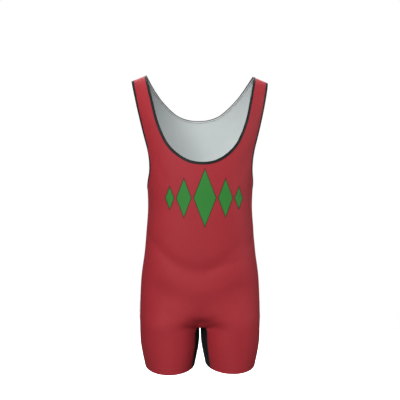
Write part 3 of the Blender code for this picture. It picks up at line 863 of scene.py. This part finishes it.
def shell_arrays(name, half, open_rows, top_is_cut):
    """(points, faces, flat places, wrong-side mask) of half a piece. open_rows lie on the middle line."""
    values = np.concatenate([cloth[name, half], normals[name, half], flat[name, half]], axis=2)
    values = with_edge_lines(values, SEAM_ROLL)
    values = with_edge_lines(values.transpose(1, 0, 2), HEM_ROLL).transpose(1, 0, 2)
    if not top_is_cut:
        values = np.concatenate([values[: -len(ROLL)], values[-1:]])
    rows, columns = values.shape[:2]
    low, high = open_rows[0] + len(ROLL) - 1, open_rows[1] + len(ROLL) - 1
    row = np.arange(rows)
    cut_first = (row <= low) | (row >= high)
    first_drop = drop_profile(columns, True, False)[None] * cut_first[:, None]
    last_drop = drop_profile(columns, False, True)[None]
    drop = np.maximum(first_drop, last_drop)
    drop = np.maximum(drop, drop_profile(rows, True, top_is_cut)[:, None])[..., None]
    points, normal = values[..., :3], unit(values[..., 3:6])
    normal[..., 0] = np.where(np.abs(points[..., 0]) < ON_MIDDLE, 0, normal[..., 0])
    normal = unit(normal)
    points = points.copy()
    seams = [(cut_first, 0, 3), (row >= 0, -1, -4)]
    for where, edge, inside in seams:
        way = unit(points[where, inside] - points[where, edge])
        way[:, 0] = np.where(np.abs(points[where, edge, 0]) < ON_MIDDLE, 0, way[:, 0])
        points[where, edge] += way * SEAM_PLAY
    up = values[..., 7:8]
    thick = CLOTH * (2 - smoothstep((up - HEM_TURN + HEM_STEP / 2) / HEM_STEP))
    outer = points - normal * thick * drop / 2
    inner = points - normal * thick * (1 - drop / 2)
    index = np.arange(rows * columns).reshape(rows, columns)
    quads = np.stack([index[:-1, :-1], index[:-1, 1:], index[1:, 1:], index[1:, :-1]], axis=-1)
    quads = quads.reshape(-1, 4)
    if facing[name, half] < 0:
        quads = quads[:, ::-1]
    faces = np.concatenate([quads, quads[:, ::-1] + rows * columns])
    both = np.concatenate([outer.reshape(-1, 3), inner.reshape(-1, 3)])
    places = np.concatenate([values[..., 6:8].reshape(-1, 2)] * 2)
    above_hem = up[faces[:, 0] % (rows * columns) // columns, 0, 0] > HEM_TURN
    wrong_side = (faces[:, 0] >= rows * columns) & above_hem
    return both, faces, places, wrong_side


def cloth_mesh(name, points, faces, places, slots, finishes):
    """One piece from arrays, with coincident points merged and the flat places as its UV map."""
    mesh = bpy.data.meshes.new(name)
    mesh.from_pydata(points.tolist(), [], faces.tolist())
    uv = mesh.uv_layers.new(name="Cloth")
    corner = np.empty(len(mesh.loops), np.int32)
    mesh.loops.foreach_get("vertex_index", corner)
    uv.data.foreach_set("uv", places[corner].astype(np.float32).reshape(-1))
    mesh.polygons.foreach_set("material_index", slots.astype(np.int32))
    for finish in finishes:
        mesh.materials.append(finish.material)
    work = bmesh.new()
    work.from_mesh(mesh)
    bmesh.ops.remove_doubles(work, verts=work.verts, dist=MERGE)
    open_edges = sum(len(edge.link_faces) != 2 for edge in work.edges)
    work.to_mesh(mesh)
    work.free()
    mesh.shade_smooth()
    mesh.update()
    piece = bpy.data.objects.new(name, mesh)
    bpy.context.scene.collection.objects.link(piece)
    print(name, "has", len(mesh.polygons), "faces and", open_edges, "open edges")
    return piece


print("each cloth edge is rounded over", round(1000 * SEAM_ROLL, 2), "mm")

# %% [markdown]
# ## Finishes
#
# The body is a plain jersey knit of fine synthetic yarn: columns of V-shaped loops about 0.9 mm apart on
# its face, dyed red, while the wrong side stays a pale grey white. Its sheen is soft and follows the loops.
# Each finish paints shade into the gaps between its loops, and lets its tone drift at random.
# A print on the chest belongs to the same cloth, so it's a change of colour in the front's finish and
# never a raised shape.

# %% Red knit, its pale wrong side, black knit and threads
WALE = 0.0009
COURSE = 0.0007
RED = (0.400, 0.029, 0.040)
# the darker red is painted shade in the knit's gaps, and the dark end of the red's random drift
RED_GAP_SHADE_AND_DRIFT = (0.300, 0.016, 0.024)
PALE = (0.56, 0.60, 0.60)
BLACK = (0.0045, 0.0060, 0.0062)
GREEN = (0.030, 0.215, 0.034)
OUTLINE = (0.012, 0.020, 0.016)


def knit(finish, wale=WALE, course=COURSE, depth_of_loops=0.00010):
    """Relief of V-shaped loops; returns it as a height from 0 in the gaps to 1 on the loops."""
    across, up = finish.cloth_grid()
    leg = abs((across / wale).fraction() - 0.5) * 2
    rows = ((up / course + leg * 0.35) * (2 * math.pi)).sin() * 0.5 + 0.5
    height = (1 - leg * leg) * 0.55 + rows * 0.45
    finish.relief(height, depth_of_loops)
    return height


def gap_shade_and_drift(finish, first, second, height, amount=0.5):
    """Colour between the two tones: painted shade darkens the gaps between the loops, and the tone drifts at
    random over the cloth.
    """
    coordinates, _ = finish.place()
    drift = finish.noise(coordinates, 14.0, 3.0) * 0.7 + finish.noise(coordinates, 90.0, 2.0) * 0.3
    # the loop height keeps the loops light and leaves the gaps in painted shade; the drift is a random tone
    share = (height * amount + drift * (1.2 - amount)).within()
    return finish.mixed(share, second, first)


def red_cloth(name):
    finish = Finish(name, RED, Metallic=0.0, Sheen_Weight=0.02, Sheen_Roughness=0.5, Specular_IOR_Level=0.2)
    finish.shader.inputs["Sheen Tint"].default_value = (1.0, 0.6, 0.6, 1)
    height = knit(finish)
    finish.roughness(0.66 - height * 0.10)
    # the red is painted darker in the gaps between its loops, as shade, over a random drift of tone
    return finish, gap_shade_and_drift(finish, RED, RED_GAP_SHADE_AND_DRIFT, height)


red, red_tone = red_cloth("red knit")
red.colour(red_tone)

wrong = Finish("red knit, wrong side", PALE, Roughness=0.8, Metallic=0.0, Sheen_Weight=0.2)
wrong_height = knit(wrong, depth_of_loops=0.00007)
# the pale side is painted darker in the gaps between its loops, as shade, over a random drift of tone
wrong.colour(gap_shade_and_drift(wrong, PALE, tuple(0.86 * c for c in PALE), wrong_height))

black = Finish("black knit", BLACK, Metallic=0.0, Sheen_Weight=0.02, Sheen_Roughness=0.5, Specular_IOR_Level=0.2)
black_height = knit(black, wale=0.0008, course=0.0006, depth_of_loops=0.00008)
black.roughness(0.62 - black_height * 0.10)
# the black is painted lighter on its loops and darker in the gaps between them, as shade, over a random drift of
# tone
black.colour(gap_shade_and_drift(black, tuple(1.8 * c for c in BLACK), BLACK, black_height))

# %% [markdown]
# ## The chest print
#
# The chest carries a plain row of five upright lozenges: green with a thin dark outline, the middle one the
# largest. The row is about 0.2 m wide and 0.15 m high. The distance to a lozenge's sides is
# (|u| / half width + |v| / half height - 1) / sqrt(1 / half width^2 + 1 / half height^2).

# %% Five lozenges printed on the front
PRINT_CENTRE = (0.006, -0.3195)
LOZENGES = (
    # offset from the centre, half width, half height
    (0.0000, 0.0290, 0.0745),
    (0.0520, 0.0195, 0.0510),
    (0.0870, 0.0120, 0.0310),
)
OUTLINE_WIDTH = 0.0017
PRINT_SOFTNESS = 0.0005

printed, printed_tone = red_cloth("red knit, printed")
_, (x, y, z) = printed.place()
from_middle = abs(x - PRINT_CENTRE[0])
height_in_print = abs(z - PRINT_CENTRE[1])
distance = None
for offset, half_width, half_height in LOZENGES:
    slope = math.hypot(1 / half_width, 1 / half_height)
    one = (abs(from_middle - offset) / half_width + height_in_print / half_height - 1) / slope
    distance = one if distance is None else distance.least(one)
outline_share = (0.5 - distance / PRINT_SOFTNESS).within()
green_share = (0.5 - (distance + OUTLINE_WIDTH) / PRINT_SOFTNESS).within()
with_outline = printed.mixed(outline_share, printed_tone, OUTLINE)
printed.colour(printed.mixed(green_share, with_outline, GREEN))
print("the print is", round(2 * (LOZENGES[2][0] + LOZENGES[2][1]), 3), "m wide")

# %% [markdown]
# ## The three cloth pieces
#
# The front and the back are cut as one piece each, on the fold, and the black gusset as one long lens.
# Here each piece is its two halves, merged along the middle line.

# %% Front panel, back panel and gusset
def sewn_piece(name, part, open_rows, top_is_cut, finishes):
    """Both halves of a piece as one mesh, with its face in finish 0 and its wrong side in finish 1."""
    halves_arrays = [shell_arrays(part, half, open_rows, top_is_cut) for half in ("left", "right")]
    count = len(halves_arrays[0][0])
    points = np.concatenate([arrays[0] for arrays in halves_arrays])
    faces = np.concatenate([halves_arrays[0][1], halves_arrays[1][1] + count])
    places = np.concatenate([arrays[2] for arrays in halves_arrays])
    slots = np.concatenate([arrays[3] for arrays in halves_arrays]).astype(int)
    return cloth_mesh(name, points, faces, places, slots, finishes)


front_piece = sewn_piece("front_cloth", "front", front_middle, True, (printed, wrong))
back_piece = sewn_piece("back_cloth", "back", back_middle, True, (red, wrong))
gusset_piece = sewn_piece("gusset_cloth", "gusset", (-9, -9), False, (black, black))

# %% [markdown]
# ## Bindings
#
# Each binding is one strip of black knit, folded lengthwise over the panels' raw edge and stitched down
# through all the layers. Its section is a narrow U: the face, a soft round fold at the free edge, the inner
# layer, and the two inner surfaces that hold the cloth. The section is carried along the free edge and the
# tape's inner border, which match point for point.

# %% Folded tape along the neck and both armholes
TAPE_SECTION = (
    # share of the binding's width in from the free edge, height above the cloth's face in millimetres
    (1.000, 0.20),
    (0.985, 0.40),
    (0.940, 0.50),
    (0.800, 0.52),
    (0.500, 0.54),
    (0.220, 0.52),
    (0.110, 0.42),
    (0.045, 0.20),
    (0.010, -0.12),
    (0.000, -0.45),
    (0.010, -0.78),
    (0.045, -1.10),
    (0.110, -1.32),
    (0.330, -1.43),
    (0.500, -1.44),
    (0.800, -1.42),
    (0.940, -1.40),
    (0.985, -1.30),
    (1.000, -1.10),
    (0.970, -0.97),
    (0.600, -0.97),
    (0.200, -0.97),
    (0.120, -0.80),
    (0.095, -0.45),
    (0.120, -0.10),
    (0.200, 0.07),
    (0.600, 0.07),
    (0.970, 0.07),
)
PALE_LAYER = (13, 18)  # the section's points between which the inner layer shows its pale side


def binding_line(parts, name):
    """A line of the binding from the bottom of its front over the shoulder to the bottom of its back."""
    return np.vstack([parts["front"][name], parts["back"][name][-2::-1]])


def tape_arrays(parts, closed):
    """(points, faces, flat places, pale mask) of a tape; an open one starts and ends on the middle line."""
    free, seam = binding_line(parts, "free"), binding_line(parts, "seam")
    lines = []
    for line in (free, seam):
        normal = unit(field_slope(line))
        ends = [0, -1]
        normal[ends, 1 if closed else 0] = 0
        lines.append((line, unit(normal)))
    (free, free_normal), (seam, seam_normal) = lines
    section = np.array(TAPE_SECTION)
    share, height = section[None, :, :1], section[None, :, 1:] / 1000
    base = free[:, None] + (seam - free)[:, None] * share
    normal = unit(free_normal[:, None] * (1 - share) + seam_normal[:, None] * share)
    base = base - normal * trough_depth(base)[..., None]
    points = base + normal * height
    run = walked(free)
    girth = np.r_[0, np.cumsum(np.hypot(*(np.diff(section, axis=0) * (7, 1)).T))] / 1000
    places = np.stack(np.broadcast_arrays(girth[None], run[:, None]), axis=-1)
    if closed:
        points, places = points[:-1], places[:-1]
    count, around = points.shape[:2]
    index = np.arange(count * around).reshape(count, around)
    if closed:
        index = np.vstack([index, index[:1]])
    following = np.roll(index, -1, axis=1)
    faces = np.stack([index[:-1], following[:-1], following[1:], index[1:]], axis=-1)
    pale = np.zeros(faces.shape[:2], bool)
    pale[:, PALE_LAYER[0] : PALE_LAYER[1]] = True
    return points.reshape(-1, 3), faces.reshape(-1, 4)[:, ::-1], places.reshape(-1, 2), pale.reshape(-1)


def tape_piece(name, arrays, finishes):
    points, faces, places, pale = arrays
    return cloth_mesh(name, points, faces, places, pale.astype(int), finishes)


points, faces, places, pale = tape_arrays(neck, False)
mirror_image = points * (-1, 1, 1)
neck_arrays = (
    np.concatenate([points, mirror_image]),
    np.concatenate([faces, faces[:, ::-1] + len(points)]),
    np.concatenate([places, places * (1, -1)]),
    np.concatenate([pale, pale]),
)
neck_piece = tape_piece("neck_tape", neck_arrays, (black, wrong))
points, faces, places, pale = tape_arrays(arm, True)
left_arm_piece = tape_piece("left_armhole_tape", (points, faces[:, ::-1], places, pale), (black, wrong))
mirror_arrays = (points * (-1, 1, 1), faces, places * (1, -1), pale)
right_arm_piece = tape_piece("right_armhole_tape", mirror_arrays, (black, wrong))

# %% [markdown]
# ## Stitching
#
# The panels are joined edge to edge with flat seams: two straight rows of needle thread, and cover threads
# that cross the joint on the face and on the wrong side. The hems have a tonal double row. A row of
# stitches runs along each binding, black on the face and grey inside, where specks of red cloth show
# between its dashes. Each stitch is a small closed grain, and all the grains of a row are placed at once.

# %% Rows of thread
THREAD = 0.00026
TRIM_AT_BINDING = 0.0045
UNTRIMMED = (0.0, 0.0)
ROW_INSET = 0.0021  # a row of needle thread lies this far from the joint
STITCH_PITCH = 0.0028
SEAM_STITCH = 0.0023
HEM_STITCH = 0.0022
HEM_ROW_HEIGHTS = (0.0160, 0.0184)
COVER_PITCH = 0.0016
COVER_LENGTH = 0.0044
COVER_LEAN = 74  # degrees from the joint's own direction
BINDING_PITCH = 0.0027
BINDING_STITCH = 0.0028
BINDING_THREAD = 0.0005


def grain():
    """(points, triangles, quads) of a unit grain along X: three rings of five points between two tips."""
    turn = np.linspace(0, 2 * math.pi, 6)[:-1]
    along, radius = np.array(((-0.42, 0.38), (0.0, 0.5), (0.42, 0.38))).T[:, :, None]
    ring = np.stack(np.broadcast_arrays(along, radius * np.cos(turn), radius * np.sin(turn)), axis=-1)
    points = np.vstack([(-0.5, 0, 0), ring.reshape(-1, 3), (0.5, 0, 0)])
    k, following = np.arange(5), (np.arange(5) + 1) % 5
    tips = np.concatenate([
        np.stack([0 * k, 1 + following, 1 + k], axis=1),
        np.stack([0 * k + 16, 11 + k, 11 + following], axis=1),
    ])
    sides = np.concatenate([
        np.stack([start + k, start + following, start + 5 + following, start + 5 + k], axis=1)
        for start in (1, 6)
    ])
    return points, tips, sides


def thread_run(line, normal, pitch, length, lean=0.0, lift=0.00005, trim=UNTRIMMED, width=THREAD):
    """Frames of one row of stitches along a line: (places, length way, width way, height way)."""
    run = walked(line)
    count = int((run[-1] - sum(trim)) // pitch)
    at = trim[0] + (np.arange(count) + 0.5) * (run[-1] - sum(trim)) / count
    way = np.gradient(line, run, axis=0)
    place, way, up = (
        np.stack([np.interp(at, run, values[:, k]) for k in range(3)], axis=1)
        for values in (line, way, normal)
    )
    up = unit(up)
    way = unit(way - up * (way * up).sum(axis=1, keepdims=True))
    side = np.cross(up, way)
    turn = math.radians(lean)
    forward = way * math.cos(turn) + side * math.sin(turn)
    return place + up * lift, forward * length, np.cross(up, forward) * width, up * THREAD * 0.8


def thread_piece(name, runs, finish):
    """All the stitches of some rows as one mesh."""
    place, forward, side, up = (np.concatenate(parts) for parts in zip(*runs))
    points, tips, sides = grain()
    body = sum(points[None, :, k : k + 1] * way[:, None] for k, way in enumerate((forward, side, up)))
    body = (body + place[:, None]).reshape(-1, 3)
    first = len(points) * np.arange(len(place))[:, None, None]
    faces = (tips[None] + first).reshape(-1, 3).tolist() + (sides[None] + first).reshape(-1, 4).tolist()
    mesh = bpy.data.meshes.new(name)
    mesh.from_pydata(body.tolist(), [], faces)
    mesh.materials.append(finish.material)
    mesh.shade_smooth()
    mesh.update()
    piece = bpy.data.objects.new(name, mesh)
    bpy.context.scene.collection.objects.link(piece)
    print(name, "has", len(place), "stitches")
    return piece


def edge_line(name, half, where, offset):
    """(line, normals) at the distance offset inside an edge of a panel's grid, on its face."""
    grid, normal = cloth[name, half], normals[name, half]
    low = front_middle[0]
    whole, leg = slice(0, low + BODY_ROWS + 1), slice(0, low)
    edge, inside = {
        "side": ((whole, -1), (whole, -2)),
        "shoulder": ((-1, slice(None)), (-2, slice(None))),
        "inseam": ((leg, 0), (leg, 1)),
        "far inseam": ((leg, -1), (leg, -2)),
    }[where]
    return grid[edge] + unit(grid[inside] - grid[edge]) * offset, normal[edge]


def hem_line(name, half, up):
    """(line, normals) round a hem at the height up."""
    row = up / (HEM_TURN - HEM_STEP / 2) * (HEM_ROWS - 1)
    low, share = int(row), row % 1
    return tuple(
        values[name, half][low] * (1 - share) + values[name, half][low + 1] * share
        for values in (cloth, normals)
    )


def across_joint(name, half, where, trim, inner=False):
    """Cover threads that cross a joint, on the face or on the wrong side."""
    line, normal = edge_line(name, half, where, 0.0)
    if inner:
        line, normal = line - normal * CLOTH, -normal
    return thread_run(line, normal, COVER_PITCH, COVER_LENGTH, lean=COVER_LEAN, lift=0.00008, trim=trim)


seam_runs, inseam_runs, hem_runs, gusset_hem_runs = [], [], [], []
for half in ("left", "right"):
    ends = {"side": (0.0, TRIM_AT_BINDING), "shoulder": (TRIM_AT_BINDING, TRIM_AT_BINDING)}
    for where, trim in ends.items():
        for name in ("front", "back"):
            line = edge_line(name, half, where, ROW_INSET)
            seam_runs.append(thread_run(*line, STITCH_PITCH, SEAM_STITCH, trim=trim))
        seam_runs.append(across_joint("front", half, where, trim))
        seam_runs.append(across_joint("front", half, where, trim, inner=True))
    for name, gusset_edge in (("front", "inseam"), ("back", "far inseam")):
        for part, where in ((name, "inseam"), ("gusset", gusset_edge)):
            line = edge_line(part, half, where, ROW_INSET)
            inseam_runs.append(thread_run(*line, STITCH_PITCH, SEAM_STITCH))
        inseam_runs.append(across_joint("gusset", half, gusset_edge, UNTRIMMED))
        inseam_runs.append(across_joint("gusset", half, gusset_edge, UNTRIMMED, inner=True))
    for up in HEM_ROW_HEIGHTS:
        for name, runs in (("front", hem_runs), ("back", hem_runs), ("gusset", gusset_hem_runs)):
            runs.append(thread_run(*hem_line(name, half, up), STITCH_PITCH, HEM_STITCH))


def tape_row(parts, share, height, facing_in):
    """(line, normals) along a binding at a share of its width and a height above the cloth's face."""
    free, seam = binding_line(parts, "free"), binding_line(parts, "seam")
    line = free + (seam - free) * share
    normal = unit(field_slope(line))
    line = line - normal * (trough_depth(line)[:, None] - height)
    return line, normal * (-1 if facing_in else 1)


face_runs, inside_runs = [], []
for parts in (neck, arm):
    for mirror in (1, -1):
        for share, height, lean, runs in (
            (0.56, 0.00054, 0, face_runs),
            (0.88, -0.00141, 35, inside_runs),
            (0.88, -0.00141, -35, inside_runs),
        ):
            line, normal = tape_row(parts, share, height, runs is inside_runs)
            flip = (mirror, 1, 1)
            row = (line * flip, normal * flip, BINDING_PITCH, BINDING_STITCH)
            runs.append(thread_run(*row, lean=lean, width=BINDING_THREAD))

red_thread = Finish("red thread", (0.360, 0.022, 0.033), Roughness=0.45, Metallic=0.0)
black_thread = Finish("black thread", (0.022, 0.030, 0.031), Roughness=0.42, Metallic=0.0)
grey_thread = Finish("grey thread with red specks", (0.080, 0.085, 0.088), Roughness=0.5, Metallic=0.0)
for finish, tone, other in (
    (red_thread, (0.390, 0.026, 0.038), (0.280, 0.014, 0.022)),
    (black_thread, (0.038, 0.052, 0.054), (0.018, 0.024, 0.025)),
    (grey_thread, (0.045, 0.048, 0.050), (0.300, 0.030, 0.040)),
):
    coordinates, _ = finish.place()
    speckle = (finish.noise(coordinates, 160.0, 1.0) * 3.0 - 1.2).within()
    finish.colour(finish.mixed(speckle, tone, other))

seam_threads = thread_piece("seam_threads", seam_runs, red_thread)
inseam_threads = thread_piece("inseam_threads", inseam_runs, black_thread)
hem_threads = thread_piece("hem_threads", hem_runs, red_thread)
gusset_hem_threads = thread_piece("gusset_hem_threads", gusset_hem_runs, black_thread)
binding_threads = thread_piece("binding_threads", face_runs, black_thread)
inner_threads = thread_piece("binding_threads_inside", inside_runs, grey_thread)

# %% [markdown]
# ## Joining the frame, and the cut
#
# Every piece belongs to the one rigid body, and each cloth piece stands in for its solid. A tight singlet
# is cut smaller than the form that fills it out, so each flat size is the size of the surface shown, less
# the stretch of the knit: about an eighth round the body, and much less along it. A binding's flat width is
# its folded section laid out.

# %% Ride, replace and flat sizes
STRETCH_ROUND = 1.12
STRETCH_ALONG = 1.03
TAPE_FLAT_WIDTH = 0.0155


def surface_area(grid):
    """Area of a grid, from the cross products of its cells' diagonals."""
    cells = np.cross(grid[1:, 1:] - grid[:-1, :-1], grid[1:, :-1] - grid[:-1, 1:])
    return np.linalg.norm(cells, axis=2).sum() / 2


def flat_cut(name, wide, long):
    """((width, length), area) of a piece before it is stretched; wide and long count its halves."""
    across = np.linalg.norm(np.diff(cloth[name, "left"], axis=1), axis=2).sum(axis=1)
    size = (wide * across.max() / STRETCH_ROUND, long * flat[name, "left"][..., 1].max() / STRETCH_ALONG)
    area = 2 * surface_area(cloth[name, "left"]) / (STRETCH_ROUND * STRETCH_ALONG)
    print(name, "is cut from", [round(float(v), 3) for v in size], "m, area", round(float(area), 4))
    return tuple(float(v) for v in size), float(area)


for piece, node, slot in (
    (front_piece, "front_panel", "red_cloth"),
    (back_piece, "back_panel", "red_cloth"),
    (gusset_piece, "crotch_gusset", "black_trim"),
    (neck_piece, "neck_binding", "black_trim"),
    (left_arm_piece, "left_armhole_binding", "black_trim"),
    (right_arm_piece, "right_armhole_binding", "black_trim"),
    (seam_threads, None, "red_cloth"),
    (hem_threads, None, "red_cloth"),
    (inseam_threads, None, "black_trim"),
    (gusset_hem_threads, None, "black_trim"),
    (binding_threads, None, "black_trim"),
    (inner_threads, None, "black_trim"),
):
    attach(piece, "root")
    if node:
        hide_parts(node)

panels = (front_piece, back_piece)
for piece, name, wide, long, rests_on, threads in (
    (front_piece, "front", 2, 1, (), (seam_threads, hem_threads)),
    (back_piece, "back", 2, 1, (), ()),
    (gusset_piece, "gusset", 1, 2, panels, (inseam_threads, gusset_hem_threads)),
):
    size, area = flat_cut(name, wide, long)
for piece, length, threads in (
    (neck_piece, neck_length, (binding_threads, inner_threads)),
    (left_arm_piece, arm_length, ()),
    (right_arm_piece, arm_length, ()),
):
    size = (TAPE_FLAT_WIDTH, float(length) / STRETCH_ALONG)
    print(piece.name, "is cut", [round(v, 4) for v in size], "m")
